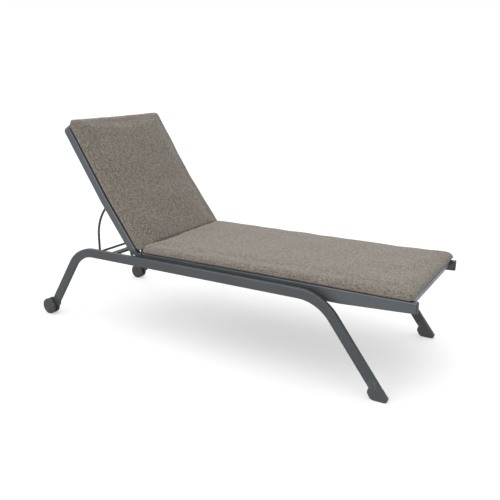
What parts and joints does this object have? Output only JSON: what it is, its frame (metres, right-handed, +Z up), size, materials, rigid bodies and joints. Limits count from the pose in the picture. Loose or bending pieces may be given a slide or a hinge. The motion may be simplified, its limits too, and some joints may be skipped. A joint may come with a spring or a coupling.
{
  "type": "reclining sun lounger",
  "caption": "Sun lounger: bent side frames, rails with a stretched sling, loose padded cushions, a hinged back held by a rod prop, and wheels at the head end.",
  "frame": {"origin": "on the ground, under the middle of the lounger's outline with the back raised", "axes": "+X towards the foot end, +Y towards the sitter's left, +Z up"},
  "size_m": [1.902, 0.7256, 0.9929],
  "materials": {
    "frame_paint": "fine-textured powder coat, anthracite",
    "rail_paint": "satin powder coat, anthracite",
    "rod_paint": "satin powder coat, dark grey",
    "dark_plastic": "fine moulded texture",
    "tread": "matt",
    "steel": "satin",
    "cushion_cloth": "taupe melange weave",
    "sling_cloth": "open plastic-coated weave"
  },
  "bodies": {
    "frame": {"frame_cross_tube": "frame_paint", "foot_bar": "rail_paint", "seat_cross_tube_rear": "frame_paint", "seat_cross_tube_middle": "frame_paint", "seat_cross_tube_front": "frame_paint", "rail_spacers": "dark_plastic", "frame_bolts": "steel", "rivet_nuts": "steel", "seat_sling": "sling_cloth", "seat_splines": "dark_plastic", "seat_cushion": "cushion_cloth", "side_frame_left": "frame_paint", "side_frame_right": "frame_paint", "front_foot_left": "dark_plastic", "front_foot_right": "dark_plastic", "leg_plug_left": "dark_plastic", "leg_plug_right": "dark_plastic", "seat_rail_left": "rail_paint", "seat_rail_right": "rail_paint", "seat_rail_cap_left": "dark_plastic", "seat_rail_cap_right": "dark_plastic", "hinge_fork_left": "rail_paint", "hinge_fork_right": "rail_paint", "pivot_bolt_left": "steel", "pivot_bolt_right": "steel", "prop_bush_left": "dark_plastic", "prop_bush_right": "dark_plastic"},
    "back": {"back_top_bar": "rail_paint", "back_lower_bar": "frame_paint", "back_sling": "sling_cloth", "back_splines": "dark_plastic", "back_cushion": "cushion_cloth", "rack_screws": "steel", "hinge_eye_left": "rail_paint", "hinge_eye_right": "rail_paint", "pivot_bush_left": "dark_plastic", "pivot_bush_right": "dark_plastic", "back_rail_left": "rail_paint", "back_rail_right": "rail_paint", "rack_left": "dark_plastic", "rack_right": "dark_plastic"},
    "prop": {"prop_cross_rod": "rod_paint", "prop_leg_left": "rod_paint", "prop_leg_right": "rod_paint"},
    "wheels_left": {"axle_left": "steel", "wheel_left_outer": "dark_plastic", "wheel_left_inner": "dark_plastic", "tyre_left_outer": "tread", "tyre_left_inner": "tread"},
    "wheels_right": {"axle_right": "steel", "wheel_right_outer": "dark_plastic", "wheel_right_inner": "dark_plastic", "tyre_right_outer": "tread", "tyre_right_inner": "tread"}
  },
  "joints": [
    {"name": "back_recline", "type": "hinge", "parent": "frame", "child": "back", "pos_m": [-0.3525, 0, 0.38], "axis": [0, 1, 0], "range_deg": [-53.6, 0]},
    {"name": "prop_swing", "type": "hinge", "parent": "frame", "child": "prop", "pos_m": [-0.611, 0, 0.3532], "axis": [0, 1, 0], "range_deg": [-100.2, 0]},
    {"name": "wheel_spin_left", "type": "hinge", "parent": "frame", "child": "wheels_left", "pos_m": [-0.911, 0.34, 0.04], "axis": [0, 1, 0], "continuous": true},
    {"name": "wheel_spin_right", "type": "hinge", "parent": "frame", "child": "wheels_right", "pos_m": [-0.911, -0.34, 0.04], "axis": [0, 1, 0], "continuous": true}
  ],
  "couplings": [
    {"joint": "prop_swing", "follows": "back_recline", "ratio": 1.87}
  ]
}
